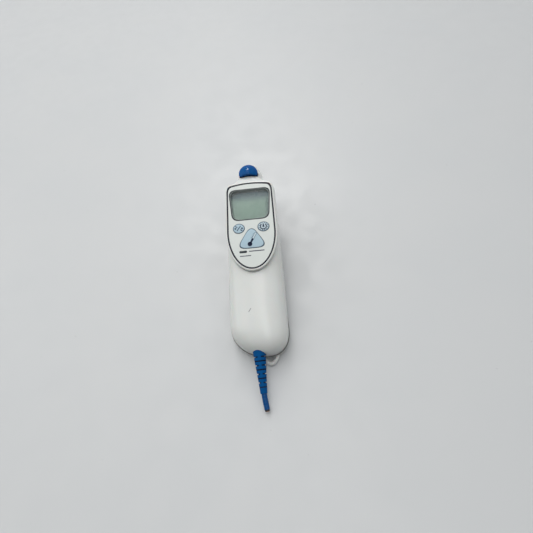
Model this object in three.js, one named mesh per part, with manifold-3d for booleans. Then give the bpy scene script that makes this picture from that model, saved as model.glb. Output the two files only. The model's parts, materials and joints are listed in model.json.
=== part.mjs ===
// Handheld infrared ear thermometer, as it lies on a table: two-shell handle, raised display
// panel with three keys, head with an eject button in front and a probe behind, and a corded heel.
//
// Every piece is built in the handle's own frame, in millimetres: x across, y from the heel to
// the head, z out of the display, with z = 0 on the face of the display panel. The last lines
// tilt the whole handle and set it down on its heel and its probe tip.

import * as THREE from "three";
import { mergeVertices } from "three/addons/utils/BufferGeometryUtils.js";
import Module from "manifold-3d";

const wasm = await Module();
wasm.setup();

// ---- driving dimensions ------------------------------------------------------------------------

const GAP = 0.3; // clearance between neighbouring pieces
const WALL = 2.2; // moulded wall of both shells
const HEEL_END = -1.5;
const HEAD_END = 178;

// outline of the handle, seen from the display side
const HANDLE_HALF = 24.6;
const PANEL_HALF = 22.3; // half width beside the display panel
const WAIST_Y = 116; // the handle steps in here, towards the head
const HEEL_CORNER_Y = 22; // the sides start to round towards the heel here
const HEEL_LEAN = 0.17; // the heel is cut on a slant, longer on the loop's side
const HEEL_LEAN_END = 55;
const HEEL_EXPONENT = { front: 3.2, rear: 4.5 }; // how late and sharply the heel rounds off
const SHOULDER_START = 149;
const SHOULDER_END = 160;
const HEAD_HALF = 12.6;

// depths
const PARTING_Z = -24; // where the two shells meet
const CROWN_Z = -3.5; // highest line of the handle's front
const HEAD_CROWN_Z = -0.8; // the head is nearly level with the panel
const BACK_Z = -34; // flat back
const REAR_BULGE = 11.5; // depth of the rear half before its back is flattened
const REAR_EXPONENT = 3;
const FOOT_Y = 13; // from here to the heel the back is bevelled, so that the handle rests on it

// display panel
const TIP_Y = 69; // lowest point of the panel's outline ring
const RING_HALF = 20.6;
const RING_SHOULDER_Y = 103; // the half-ellipse at the bottom of the ring starts here
const RING_CORNER_Y = 140.5;
const RING_TOP_Y = 149.8;
const RING_NARROWING = 0.6; // each side, up to the head corners
const RING_ARCH = { inset: 4.9, drop: 1.5, shoulder: 0.3 }; // where the top arch meets its corners
const WINDOW = { topHalf: 18.5, bottomHalf: 16, low: 114, high: 143.9, reach: 6.5 };
const PLATFORM_MARGIN = 1.9; // white border outside the ring
const PANEL_PLATE = 2.8; // thickness of the shell under the panel
const OVERLAY = 0.6;
const OVERLAY_MARGIN = 0.5;

// keys, as [x, y] centres and half sizes
const SMALL_KEY_X = 10.8;
const SMALL_KEY_Y = 106.1;
const SMALL_KEY_HALF = [5.1, 4.55];
const SCAN_KEY = { y: 95, half: 13.9, low: 87, apex: 109.2, reach: 9.3, miter: 1.6 };
const KEY_PROUD = 0.35;
const KEY_FLANGE = 0.8;

// board and display stack
const BOARD_TOP = -9;
const BOARD = 1.6;

// probe and ejector
const PROBE_Y = 161;
const PROBE_TIP_Z = -66;
const TIP_FACE_R = 3.6;
const NOZZLE_BASE_R = 6.8;
const NOZZLE_TIP_R = 4.2;
const COLLAR_END_Z = -40;
const SLEEVE_R = 10.2;
const SLEEVE_END_Z = -44;
const BUTTON_HALF = 8.7;
const BUTTON_BOTTOM_Y = 157.4;
const BUTTON_ROUND_Y = 160.6;
const BUTTON_TOP_Y = 168.8;
const BUTTON_CORNER = 2.6;
const BUTTON_HOLLOW = 0.6; // how far the flat side is pulled in
const BUTTON_DOME = { y: 161, z: -9.5, r: 12.5 }; // a ball, stretched a little along y
const BUTTON_FOOT_Z = -14;

// at rest the head is held up by the probe's tip, and the bevel at the heel lies flat
const REST_TILT = Math.atan2(BACK_Z - PROBE_TIP_Z, PROBE_Y - TIP_FACE_R - FOOT_Y);

// batteries
const CELL_R = 5.2;
const CELL_LENGTH = 43.6;
const CELL_PITCH = 11;
const CELL_Z = -26.3;
const BAY = { x: 16.9, low: 28, high: 79, wall: 2.4, top: -19 };
const DOOR = { half: 17, high: 87, inner: -32.2 };
const PLATE = 0.4; // sheet of the battery contacts

// screws that hold the shells together, [x, y], and the height where their bosses meet
const BOSS_JOINT_Z = -20;
const SCREWS = [
  [-14, 17],
  [14, 17],
  [-18.6, 97.5],
  [18.6, 97.5],
];

// cable
const BOOT_ROOT = new THREE.Vector3(-0.8, 4, -14.5);
const BOOT_AIM = new THREE.Vector3(0.05, -1, -0.07);
const BOOT_ROOT_R = 4.9;
const BOOT_END_R = 2.8;
const BOOT_FLANGE = [-13, -11.4]; // held behind the heel's wall
const BOOT_COLLAR = 6.3; // from the root to the first groove
const BOOT_LENGTH = 35.8;
const GROOVES = { count: 8, pitch: 3.4, width: 0.95, depth: 0.9 };
const CLAMP = { r: 4.4, from: -17, to: -13.5 };
const CABLE_R = 2.25;
const CABLE_INSIDE = 20;
const CABLE_LENGTH = 49.2; // from the root of the boot to the cut end

// tether loop
const LOOP = { x: 7.6, y: 2.5, z: -27.5, half: 6, reach: 10.4, r: 1.75 };

// spans wider and longer than the handle, for slabs that cut right through it
const ACROSS = [-HANDLE_HALF - 10, HANDLE_HALF + 10];
const ALONG = [HEEL_END - 20, HEAD_END + 10];

// ---- solids --------------------------------------------------------------------------------------

function solidOf(geometry) {
  const bare = geometry.clone();
  bare.deleteAttribute("normal");
  bare.deleteAttribute("uv");
  const merged = mergeVertices(bare, 1e-4);
  return new wasm.Manifold(
    new wasm.Mesh({
      numProp: 3,
      vertProperties: merged.attributes.position.array,
      triVerts: new Uint32Array(merged.index.array),
    }),
  );
}

function geometryOf(solid) {
  const mesh = solid.getMesh();
  const geometry = new THREE.BufferGeometry();
  geometry.setAttribute("position", new THREE.BufferAttribute(mesh.vertProperties, 3));
  geometry.setIndex(new THREE.BufferAttribute(mesh.triVerts, 1));
  geometry.computeVertexNormals();
  return geometry;
}

function block([x0, x1], [y0, y1], [z0, z1]) {
  const box = new THREE.BoxGeometry(x1 - x0, y1 - y0, z1 - z0);
  return solidOf(box.translate((x0 + x1) / 2, (y0 + y1) / 2, (z0 + z1) / 2));
}

// A round bar along z, tapering from radius `low` at z0 to radius `high` at z1.
function bar(x, y, [z0, z1], low, high = low, sides = 20) {
  const cylinder = new THREE.CylinderGeometry(high, low, z1 - z0, sides);
  cylinder.rotateX(Math.PI / 2);
  return solidOf(cylinder.translate(x, y, (z0 + z1) / 2));
}

function prism(shape, [z0, z1], curveSegments = 8) {
  const options = { depth: z1 - z0, bevelEnabled: false, curveSegments };
  return solidOf(new THREE.ExtrudeGeometry(shape, options).translate(0, 0, z0));
}

// A prism whose top edge is rounded by `round`; its outline is reached below the rounding.
function softPrism(shape, [z0, z1], round, curveSegments = 8) {
  const options = {
    depth: z1 - z0 - round,
    bevelSize: round,
    bevelThickness: round,
    bevelOffset: -round,
    bevelSegments: 2,
    curveSegments,
  };
  const body = solidOf(new THREE.ExtrudeGeometry(shape, options).translate(0, 0, z0));
  const slab = block(ACROSS, ALONG, [z0, z1 + 1]);
  return body.intersect(slab);
}

// A solid of revolution about the y axis from [radius, y] points that start and end on the axis.
function turned(profile, sides = 16) {
  const points = profile.map(([r, y]) => new THREE.Vector2(r, y));
  return solidOf(new THREE.LatheGeometry(points, sides));
}

// ---- outlines -------------------------------------------------------------------------------------

function smoothstep(from, to, value) {
  return THREE.MathUtils.smoothstep(value, from, to);
}

// One quarter of a superellipse: 1 at the start, 0 at the end of its reach.
function roundOff(distance, reach, exponent) {
  const share = Math.min(Math.max(distance / reach, 0), 1);
  return Math.pow(1 - Math.pow(share, exponent), 1 / exponent);
}

function halfWidth(y) {
  const heel = roundOff(HEEL_CORNER_Y - y, HEEL_CORNER_Y - HEEL_END, 2.2);
  const taper = THREE.MathUtils.lerp(HANDLE_HALF, PANEL_HALF + 1, smoothstep(40, WAIST_Y, y));
  const step = smoothstep(WAIST_Y - 1, WAIST_Y + 1.5, y);
  const handle = heel * (taper - step);
  const head = HEAD_HALF * roundOff(y - SHOULDER_END, HEAD_END - SHOULDER_END, 2);
  return THREE.MathUtils.lerp(handle, head, smoothstep(SHOULDER_START, SHOULDER_END, y));
}

// How much of its full height the handle has at y: it runs out at the heel and at the head.
function fullness(y, heelExponent) {
  const slopeY = HEEL_CORNER_Y + 4;
  const heel = roundOff(slopeY - y, slopeY - HEEL_END, heelExponent);
  const head = roundOff(y - SHOULDER_START, HEAD_END - SHOULDER_START, 2.6);
  return heel * head;
}

// Exponent of the front's cross-section: boxy under the panel, rounder at the head.
function frontExponent(y) {
  return 3 + smoothstep(60, 100, y) - 1.4 * smoothstep(SHOULDER_START, SHOULDER_END, y);
}

function crown(y) {
  return THREE.MathUtils.lerp(CROWN_Z, HEAD_CROWN_Z, smoothstep(143, 151, y));
}

function back(y) {
  return BACK_Z + Math.max(0, FOOT_Y - y) * Math.tan(REST_TILT);
}

function heelLean(x, y) {
  return y - HEEL_LEAN * x * (1 - smoothstep(0, HEEL_LEAN_END, y));
}

// The handle's outer skin, or with a wall thickness the surface that lies that far inside it.
function handleSkin(wall) {
  const stations = 30;
  const around = 28;
  const middle = (HEEL_END + HEAD_END) / 2;
  const reach = (HEAD_END - HEEL_END) / 2;
  const positions = [];
  for (let i = 0; i <= stations; i++) {
    const y = middle - reach * Math.cos((Math.PI * i) / stations);
    const width = halfWidth(y) * (1 - wall / HANDLE_HALF);
    const front = fullness(y, HEEL_EXPONENT.front) * (crown(y) - PARTING_Z - wall);
    const rear = fullness(y, HEEL_EXPONENT.rear) * (REAR_BULGE - wall);
    const inY = middle + (y - middle) * (1 - wall / reach);
    for (let j = 0; j < around; j++) {
      const angle = (2 * Math.PI * j) / around;
      const power = 2 / (Math.sin(angle) > 0 ? frontExponent(y) : REAR_EXPONENT);
      const side = Math.sign(Math.cos(angle)) * Math.pow(Math.abs(Math.cos(angle)), power);
      const rise = Math.sign(Math.sin(angle)) * Math.pow(Math.abs(Math.sin(angle)), power);
      const x = side * width;
      const z = PARTING_Z + rise * (rise > 0 ? front : rear);
      const leanY = heelLean(x, inY);
      positions.push(x, leanY, Math.max(z, back(leanY) + wall));
    }
  }
  return solidOf(closedTube(positions, stations, around));
}

// Joins rings of `around` points into one closed skin. The first and last ring are single points.
function closedTube(positions, rings, around) {
  const index = [];
  for (let i = 0; i < rings; i++) {
    for (let j = 0; j < around; j++) {
      const a = i * around + j;
      const b = i * around + ((j + 1) % around);
      if (i > 0) index.push(a, a + around, b);
      if (i < rings - 1) index.push(b, a + around, b + around);
    }
  }
  const geometry = new THREE.BufferGeometry();
  geometry.setAttribute("position", new THREE.Float32BufferAttribute(positions, 3));
  geometry.setIndex(index);
  return geometry;
}

// The display panel's shield, grown by `offset` from the outline ring's centre line.
function shield(offset) {
  const half = RING_HALF + offset;
  const corner = half - RING_NARROWING;
  const arch = half - RING_ARCH.inset;
  const archY = RING_TOP_Y - RING_ARCH.drop + offset;
  const shoulderY = archY - RING_ARCH.shoulder;
  const shape = new THREE.Shape();
  shape.absellipse(0, RING_SHOULDER_Y, half, RING_SHOULDER_Y - TIP_Y + offset, Math.PI, 2 * Math.PI);
  shape.lineTo(corner, RING_CORNER_Y);
  shape.quadraticCurveTo(corner, shoulderY, arch, archY);
  shape.quadraticCurveTo(0, 2 * (RING_TOP_Y + offset) - archY, -arch, archY);
  shape.quadraticCurveTo(-corner, shoulderY, -corner, RING_CORNER_Y);
  return shape;
}

// A polygon whose corners are rounded off, starting `reach` away from each corner.
function rounded(corners, reach) {
  const shape = new THREE.Shape();
  const points = corners.map(([x, y]) => new THREE.Vector2(x, y));
  points.forEach((point, i) => {
    const last = points[(i + points.length - 1) % points.length];
    const next = points[(i + 1) % points.length];
    const from = point.clone().add(last.clone().sub(point).setLength(reach));
    const to = point.clone().add(next.clone().sub(point).setLength(reach));
    if (i === 0) shape.moveTo(from.x, from.y);
    else shape.lineTo(from.x, from.y);
    shape.quadraticCurveTo(point.x, point.y, to.x, to.y);
  });
  return shape;
}

function windowOutline(offset) {
  const top = WINDOW.topHalf + offset;
  const bottom = WINDOW.bottomHalf + offset;
  const low = WINDOW.low - offset;
  const high = WINDOW.high + offset;
  return rounded([[-bottom, low], [bottom, low], [top, high], [-top, high]], WINDOW.reach);
}

function scanKeyOutline(offset) {
  const corner = SCAN_KEY.miter * offset;
  const half = SCAN_KEY.half + corner;
  const low = SCAN_KEY.low - offset;
  return rounded([[-half, low], [half, low], [0, SCAN_KEY.apex + corner]], SCAN_KEY.reach + offset);
}

function smallKeyOutline(side, offset) {
  const [halfX, halfY] = SMALL_KEY_HALF;
  const shape = new THREE.Shape();
  shape.absellipse(side * SMALL_KEY_X, SMALL_KEY_Y, halfX + offset, halfY + offset, 0, 2 * Math.PI);
  return shape;
}

// The eject button's D: flat at the bottom, round at the top.
function buttonOutline(offset) {
  const half = BUTTON_HALF + offset;
  const low = BUTTON_BOTTOM_Y - offset;
  const shape = new THREE.Shape();
  shape.absellipse(0, BUTTON_ROUND_Y, half, BUTTON_TOP_Y - BUTTON_ROUND_Y + offset, 0, Math.PI);
  const foot = half - BUTTON_CORNER;
  shape.quadraticCurveTo(-half, low, -foot, low);
  shape.quadraticCurveTo(0, low + BUTTON_HOLLOW, foot, low);
  shape.quadraticCurveTo(half, low, half, BUTTON_ROUND_Y);
  return shape;
}

// ---- shells ----------------------------------------------------------------------------------------

const FRONT_HALF = block(ACROSS, ALONG, [PARTING_Z + GAP / 2, 5]);
const REAR_HALF = block(ACROSS, ALONG, [PROBE_TIP_Z, PARTING_Z - GAP / 2]);

function frontShell() {
  const pocket = prism(shield(-0.6), [PARTING_Z, -PANEL_PLATE]);
  const recess = prism(shield(OVERLAY_MARGIN + GAP), [-OVERLAY - GAP, 5]);
  const outer = handleSkin(0).add(softPrism(shield(PLATFORM_MARGIN), [-16, 0], 0.8));
  let shell = outer.subtract(handleSkin(WALL)).subtract(pocket).subtract(recess);
  for (const [x, y] of SCREWS) {
    shell = shell.add(bar(x, y, [BOSS_JOINT_Z, GAP - PANEL_PLATE], 3, 3, 12).intersect(outer));
    shell = shell.subtract(bar(x, y, [BOSS_JOINT_Z - 1, -11], 1.4, 1.4, 10));
  }
  const openings = [
    prism(windowOutline(GAP), [-8, 5]),
    prism(scanKeyOutline(GAP), [-8, 5]),
    prism(smallKeyOutline(-1, GAP), [-8, 5]),
    prism(smallKeyOutline(1, GAP), [-8, 5]),
    prism(buttonOutline(GAP), [-16, 5]),
    alongBoot(turned([[0, -8], [BOOT_ROOT_R + GAP, -8], [BOOT_ROOT_R + GAP, 20], [0, 20]], 16)),
  ];
  for (const opening of openings) shell = shell.subtract(opening);
  return shell.intersect(FRONT_HALF);
}

function rearShell() {
  const { x, low, high, wall, top } = BAY;
  const tray = block([-x - wall, x + wall], [low - wall, high + wall], [BACK_Z, top]);
  const ledge = block([-DOOR.half - 2, DOOR.half + 2], [-5, DOOR.high + 2], [BACK_Z, BACK_Z + 4]);
  const collar = bar(0, PROBE_Y, [COLLAR_END_Z, -26], SLEEVE_R + 1.6, SLEEVE_R + 2.2, 24);
  const outer = handleSkin(0);
  let shell = outer
    .subtract(handleSkin(WALL))
    .add(tray.add(ledge).intersect(handleSkin(WALL / 2)))
    .add(collar)
    .add(tetherLoop());
  for (const [bossX, bossY] of SCREWS) {
    const boss = bar(bossX, bossY, [BACK_Z, BOSS_JOINT_Z - GAP], 3.6, 3.2, 12);
    shell = shell.add(boss.intersect(outer));
  }
  shell = shell.add(bar(0, 144, [BACK_Z + 1, -25.3], 3.4, 3.4, 12));
  const bay = block([-x, x], [low, high], [BACK_Z - 5, top + 5]);
  const doorway = block(
    [-DOOR.half - GAP, DOOR.half + GAP],
    [-30, DOOR.high + GAP],
    [BACK_Z - 5, DOOR.inner + GAP],
  );
  const probeHole = bar(0, PROBE_Y, [COLLAR_END_Z - 5, -15], SLEEVE_R + GAP, SLEEVE_R + GAP, 24);
  shell = shell.subtract(bay).subtract(doorway).subtract(probeHole);
  for (const [bossX, bossY] of SCREWS) {
    shell = shell.subtract(bar(bossX, bossY, [BACK_Z - 5, -27], 2.8, 2.8, 12));
    shell = shell.subtract(bar(bossX, bossY, [-28, -15], 1.4, 1.4, 10));
  }
  shell = shell.subtract(bar(0, 144, [-30, -18], 1.2, 1.2, 10));
  return shell.intersect(REAR_HALF);
}

class LoopCurve extends THREE.Curve {
  getPoint(t, target = new THREE.Vector3()) {
    const angle = Math.PI * t;
    return target.set(
      LOOP.x - LOOP.half * Math.cos(angle),
      LOOP.y - LOOP.reach * Math.sin(angle),
      LOOP.z,
    );
  }
}

function tetherLoop() {
  const section = new THREE.Shape();
  section.absarc(0, 0, LOOP.r, 0, 2 * Math.PI);
  const options = { steps: 16, curveSegments: 5, extrudePath: new LoopCurve() };
  return solidOf(new THREE.ExtrudeGeometry(section, options));
}

// The door is the part of the back that lies over the battery bay. It slides out past the heel.
function batteryDoor() {
  const region = block([-DOOR.half, DOOR.half], [-5, DOOR.high], [BACK_Z - 5, DOOR.inner]);
  let door = handleSkin(0).intersect(region);
  for (let i = 0; i < 5; i++) {
    const y = DOOR.high - 8 - 2.4 * i;
    door = door.subtract(block([-7, 7], [y, y + 1.1], [BACK_Z - 1, BACK_Z + 0.6]));
  }
  return door;
}

// ---- panel, keys and display ---------------------------------------------------------------------

function keypadOverlay() {
  return prism(shield(OVERLAY_MARGIN), [-OVERLAY, 0])
    .subtract(prism(windowOutline(GAP), [-5, 5]))
    .subtract(prism(scanKeyOutline(GAP), [-5, 5]))
    .subtract(prism(smallKeyOutline(-1, GAP), [-5, 5]))
    .subtract(prism(smallKeyOutline(1, GAP), [-5, 5]));
}

// A key cap with a flange under the shell and a stem over its switch.
function keyCap(outline, x, y) {
  const flangeTop = -PANEL_PLATE - GAP;
  return softPrism(outline(0), [flangeTop - 0.4, KEY_PROUD], 0.3)
    .add(prism(outline(KEY_FLANGE), [flangeTop - 0.6, flangeTop]))
    .add(bar(x, y, [-6.3, flangeTop - 0.5], 1.5, 2, 12));
}

function keySwitch(x, y) {
  return block([x - 3, x + 3], [y - 3, y + 3], [BOARD_TOP + GAP, -7.4]).add(
    bar(x, y, [-7.6, -7], 1.7, 1.7, 12),
  );
}

function lcdHolder() {
  const frame = prism(shield(-1), [-8.2, -3.1]).intersect(block([-25, 25], [111.8, 150], [-9, 0]));
  const seat = prism(shield(-2.4), [-9, -4]).intersect(block([-25, 25], [113, 145], [-10, 0]));
  return frame.subtract(seat).subtract(prism(windowOutline(-0.4), [-9, 0]));
}

// The glass has its two upper corners cut back to the holder's seat.
function lcdGlass() {
  const sheet = block([-17.8, 17.8], [113.3, 144.6], [-5.6, -4.3]);
  return sheet.intersect(prism(shield(-2.7), [-9, 0]));
}

function mainBoard() {
  let board = prism(shield(-1), [BOARD_TOP - BOARD, BOARD_TOP]).intersect(
    block([-25, 25], [80, 150], [-20, 0]),
  );
  for (const [x, y] of SCREWS.slice(2)) {
    board = board.subtract(bar(x, y, [-20, 0], 3.5, 3.5, 16));
  }
  return board;
}

// ---- ejector and probe ---------------------------------------------------------------------------

function ejectButton() {
  const { y, z, r } = BUTTON_DOME;
  const ball = new THREE.SphereGeometry(r, 28, 20).scale(1, 1.05, 1).translate(0, y, z);
  const cap = prism(buttonOutline(0), [BUTTON_FOOT_Z + 1, 5]).intersect(solidOf(ball));
  return cap.add(prism(buttonOutline(-1), [BUTTON_FOOT_Z, BUTTON_FOOT_Z + 3]));
}

// The bridge under the button with two legs that reach past the nozzle to the sleeve.
function ejectorLink() {
  const bridgeZ = [-16.2, -14.4];
  const legY = [PROBE_Y - 2.5, PROBE_Y + 2.5];
  let link = probeDisc(NOZZLE_BASE_R, bridgeZ).add(block([-9.4, 9.4], legY, bridgeZ));
  for (const side of [-1, 1]) {
    const legX = [7.6, 9.4].map((x) => side * x).sort((a, b) => a - b);
    link = link.add(block(legX, legY, [-28.6, bridgeZ[1]]));
  }
  return link;
}

function ejectorSleeve() {
  const outer = bar(0, PROBE_Y, [SLEEVE_END_Z, -29], SLEEVE_R - 0.8, SLEEVE_R, 24);
  return outer.subtract(probeDisc(NOZZLE_BASE_R + GAP, [-50, -20], 24));
}

class Coil extends THREE.Curve {
  constructor(startRadius, endRadius, height, turns) {
    super();
    Object.assign(this, { startRadius, endRadius, height, turns });
  }
  getPoint(t, target = new THREE.Vector3()) {
    const angle = 2 * Math.PI * this.turns * t;
    const radius = THREE.MathUtils.lerp(this.startRadius, this.endRadius, t);
    return target.set(radius * Math.cos(angle), radius * Math.sin(angle), this.height * t);
  }
}

function coilSpring(startRadius, endRadius, height, turns, wire) {
  const section = new THREE.Shape();
  section.absarc(0, 0, wire / 2, 0, 2 * Math.PI);
  const extrudePath = new Coil(startRadius, endRadius, height - wire, turns);
  const options = { steps: Math.round(turns * 9), curveSegments: 3, extrudePath };
  return solidOf(new THREE.ExtrudeGeometry(section, options).translate(0, 0, wire / 2));
}

// The tapered nozzle, with the bracket that carries it inside the head.
function probeNozzle() {
  const outer = [
    [0, PROBE_TIP_Z],
    [TIP_FACE_R, PROBE_TIP_Z],
    [NOZZLE_TIP_R, PROBE_TIP_Z + 1],
    [5.2, -54],
    [6.4, -46],
    [NOZZLE_BASE_R, -42],
    [NOZZLE_BASE_R, -23],
    [0, -23],
  ];
  const bore = [
    [0, PROBE_TIP_Z + 0.9],
    [3.3, PROBE_TIP_Z + 0.9],
    [3.3, -50],
    [4.2, -49.8],
    [4.2, -45.5],
    [5.3, -45.3],
    [5.3, -22],
    [0, -22],
  ];
  const mouth = bar(0, PROBE_Y, [PROBE_TIP_Z - 1, -60], 2.7, 2.7, 16);
  const bracket = block([-6, 6], [140.6, 155], [-25, -23]);
  return upright(turned(outer, 24))
    .add(bracket)
    .subtract(upright(turned(bore, 20)))
    .subtract(mouth)
    .subtract(bar(0, 144, [-30, -20], 1.4, 1.4, 10));
}

// Turns a solid made about the y axis so that it stands on the probe's axis.
function upright(solid) {
  return place(solid, new THREE.Matrix4().makeRotationX(Math.PI / 2).setPosition(0, PROBE_Y, 0));
}

function place(solid, matrix) {
  return solidOf(geometryOf(solid).applyMatrix4(matrix));
}

function probeDisc(radius, [z0, z1], sides = 18) {
  return bar(0, PROBE_Y, [z0, z1], radius, radius, sides);
}

// ---- batteries, fasteners and cable --------------------------------------------------------------

// A cell about the y axis, its plus end up.
function cell() {
  const nub = 0.9;
  return turned([
    [0, 0],
    [CELL_R, 0],
    [CELL_R, CELL_LENGTH],
    [1.9, CELL_LENGTH],
    [1.9, CELL_LENGTH + nub],
    [0, CELL_LENGTH + nub],
  ]);
}

function screw(length) {
  return bar(0, 0, [0, 2.2], 2.4, 2.2, 12).add(bar(0, 0, [2, length], 1.1, 1.1, 10));
}

// Places a solid made about the y axis on the boot's axis: y = 0 is its root, +y runs outwards.
function alongBoot(solid) {
  const turn = new THREE.Quaternion().setFromUnitVectors(
    new THREE.Vector3(0, 1, 0),
    BOOT_AIM.clone().normalize(),
  );
  return place(solid, new THREE.Matrix4().compose(BOOT_ROOT, turn, new THREE.Vector3(1, 1, 1)));
}

// The strain relief: a collar, then rings between grooves on a taper, over the cable.
function cableBoot() {
  const inner = CABLE_R + GAP;
  const flange = BOOT_ROOT_R + 0.7;
  const radiusAt = (y) =>
    THREE.MathUtils.lerp(BOOT_ROOT_R, BOOT_END_R, smoothstep(-4, BOOT_LENGTH + 4, y));
  const profile = [[inner, BOOT_FLANGE[0]], [flange, BOOT_FLANGE[0]], [flange, BOOT_FLANGE[1]]];
  profile.push([BOOT_ROOT_R, BOOT_FLANGE[1]]);
  for (let i = 0; i < GROOVES.count; i++) {
    const start = BOOT_COLLAR + GROOVES.pitch * i;
    const end = start + GROOVES.width;
    const radius = radiusAt(start);
    profile.push([radius, start], [radius - GROOVES.depth, start]);
    profile.push([radius - GROOVES.depth, end], [radius, end]);
  }
  profile.push([BOOT_END_R, BOOT_LENGTH], [inner, BOOT_LENGTH], profile[0]);
  return alongBoot(turned(profile, 14));
}

function cable() {
  return alongBoot(
    turned([[0, -CABLE_INSIDE], [CABLE_R, -CABLE_INSIDE], [CABLE_R, CABLE_LENGTH], [0, CABLE_LENGTH]]),
  );
}

function cableCore() {
  const start = CABLE_LENGTH + GAP;
  return alongBoot(turned([[0, start], [1.1, start], [1.1, start + 1], [0, start + 1]], 10));
}

function cableClamp() {
  const { r, from, to } = CLAMP;
  const inner = CABLE_R + GAP;
  return alongBoot(turned([[inner, from], [r, from], [r, to], [inner, to], [inner, from]]));
}

// ---- materials -------------------------------------------------------------------------------------

function plastic(color, roughness = 0.4) {
  return new THREE.MeshStandardMaterial({ color, roughness, metalness: 0 });
}

function metal(color, roughness = 0.35) {
  return new THREE.MeshStandardMaterial({ color, roughness, metalness: 1 });
}

const WHITE = plastic(0xe9ebe8, 0.25);
const PANEL = plastic(0xe2e5e3, 0.45);
const KEY_BLUE = plastic(0xa9c3d6, 0.5);
const DEEP_BLUE = plastic(0x0a4a96, 0.15);
const BOOT_BLUE = plastic(0x0f5296, 0.65);
const CABLE_BLUE = plastic(0x1c58a8, 0.3);
const DARK = plastic(0x2b333b, 0.5);
const BOARD_GREEN = plastic(0x1f5a38, 0.5);
const CLEAR = new THREE.MeshStandardMaterial({ color: 0xdfe8e4, roughness: 0.05, opacity: 0.3 });
const LCD_GREEN = plastic(0x84998c, 0.2);
const STEEL = metal(0xb9bcc0);
const BRASS = metal(0xc8a24a);
const COPPER = metal(0xb4683c);
const BATTERY = plastic(0x3c4147, 0.35);

// ---- the assembly ----------------------------------------------------------------------------------

const handle = new THREE.Group();

function addPiece(name, solid, material, position = [0, 0, 0], rotation = [0, 0, 0], parent = handle) {
  const mesh = new THREE.Mesh(geometryOf(solid), material);
  mesh.name = name;
  mesh.position.set(...position);
  mesh.rotation.set(...rotation);
  parent.add(mesh);
}

function addShells() {
  addPiece("front_shell", frontShell(), WHITE);
  addPiece("rear_shell", rearShell(), WHITE);
  addPiece("battery_door", batteryDoor(), WHITE);
  SCREWS.forEach(([x, y], i) => {
    addPiece("shell_screw_" + (i + 1), screw(15), STEEL, [x, y, -29.6]);
  });
}

function addPanel() {
  addPiece("keypad_overlay", keypadOverlay(), PANEL);
  addPiece("display_window", prism(windowOutline(0), [-1.9, -0.7]), CLEAR);
  addPiece("scan_key", keyCap(scanKeyOutline, 0, SCAN_KEY.y), KEY_BLUE);
  addPiece("scan_switch", keySwitch(0, SCAN_KEY.y), DARK);
  for (const [name, side] of [["unit", -1], ["timer", 1]]) {
    const x = side * SMALL_KEY_X;
    const outline = (offset) => smallKeyOutline(side, offset);
    addPiece(name + "_key", keyCap(outline, x, SMALL_KEY_Y), KEY_BLUE);
    addPiece(name + "_switch", keySwitch(x, SMALL_KEY_Y), DARK);
  }
}

function addDisplay() {
  addPiece("lcd_holder", lcdHolder(), DARK);
  addPiece("lcd_glass", lcdGlass(), LCD_GREEN);
  addPiece("lcd_reflector", block([-17.2, 17.2], [116.4, 140.5], [-6.9, -5.9]), PANEL);
  for (const [name, y] of [["lower", 114.4], ["upper", 142.8]]) {
    const strip = block([-13, 13], [y - 0.9, y + 0.9], [BOARD_TOP + GAP, -5.9]);
    addPiece("connector_strip_" + name, strip, DARK);
  }
}

function addBoard() {
  const under = BOARD_TOP - BOARD - GAP;
  addPiece("main_board", mainBoard(), BOARD_GREEN);
  addPiece("processor", block([-6, 6], [116, 128], [under - 1.6, under]), DARK);
  addPiece("buzzer", bar(8, 98, [under - 3.2, under], 6, 6, 20), DARK);
}

function addEjector() {
  addPiece("eject_button", ejectButton(), DEEP_BLUE);
  addPiece("ejector_link", ejectorLink(), PANEL);
  addPiece("ejector_sleeve", ejectorSleeve(), WHITE);
  addPiece("ejector_spring", coilSpring(6, 6, 6, 3, 0.5), STEEL, [0, PROBE_Y, -22.6]);
}

function addProbe() {
  addPiece("probe_nozzle", probeNozzle(), WHITE);
  addPiece("probe_window", probeDisc(3, [-64.8, -64.2], 16), CLEAR);
  const guide = probeDisc(3, [-63.9, -50.2], 16).subtract(probeDisc(2.2, [-70, -40], 16));
  addPiece("wave_guide", guide, BRASS);
  addPiece("sensor_can", probeDisc(3.8, [-49.2, -45.6], 16), STEEL);
  addPiece("heat_sink", probeDisc(4.9, [-44.8, -35], 16), BRASS);
  addPiece("sensor_board", probeDisc(4.9, [-34.6, -33.4], 16), BOARD_GREEN);
  addPiece("probe_screw", screw(6.2), STEEL, [0, 144, -20.4], [Math.PI, 0, 0]);
  addPiece("cover_switch", block([5.5, 9], [142.6, 147.4], [-31.2, -26]), DARK);
}

function addBatteries() {
  const middle = (BAY.low + BAY.high) / 2;
  const half = (BAY.high - BAY.low) / 2;
  const reach = half - 0.9 - PLATE;
  for (let i = 0; i < 3; i++) {
    const x = CELL_PITCH * (i - 1);
    const turn = i === 1 ? Math.PI : 0;
    const stack = new THREE.Group();
    stack.position.set(x, middle, CELL_Z);
    stack.rotation.z = turn;
    handle.add(stack);
    addPiece("battery_" + (i + 1), cell(), BATTERY, [0, reach - CELL_LENGTH - 1, 0], [0, 0, 0], stack);
    const spring = coilSpring(4, 2.2, 3.6, 3, 0.5);
    const upwards = [-Math.PI / 2, 0, 0];
    addPiece("battery_spring_" + (i + 1), spring, STEEL, [0, 0.2 - reach, 0], upwards, stack);
  }
  for (const [name, y] of [["heel", BAY.low + 0.4], ["head", BAY.high - 0.4 - PLATE]]) {
    addPiece("battery_plate_" + name, block([-16.4, 16.4], [y, y + PLATE], [-31.4, -20.4]), STEEL);
  }
}

function addCable() {
  addPiece("cable_boot", cableBoot(), BOOT_BLUE);
  addPiece("cable", cable(), CABLE_BLUE);
  addPiece("cable_core", cableCore(), COPPER);
  addPiece("cable_clamp", cableClamp(), DARK);
}

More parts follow.
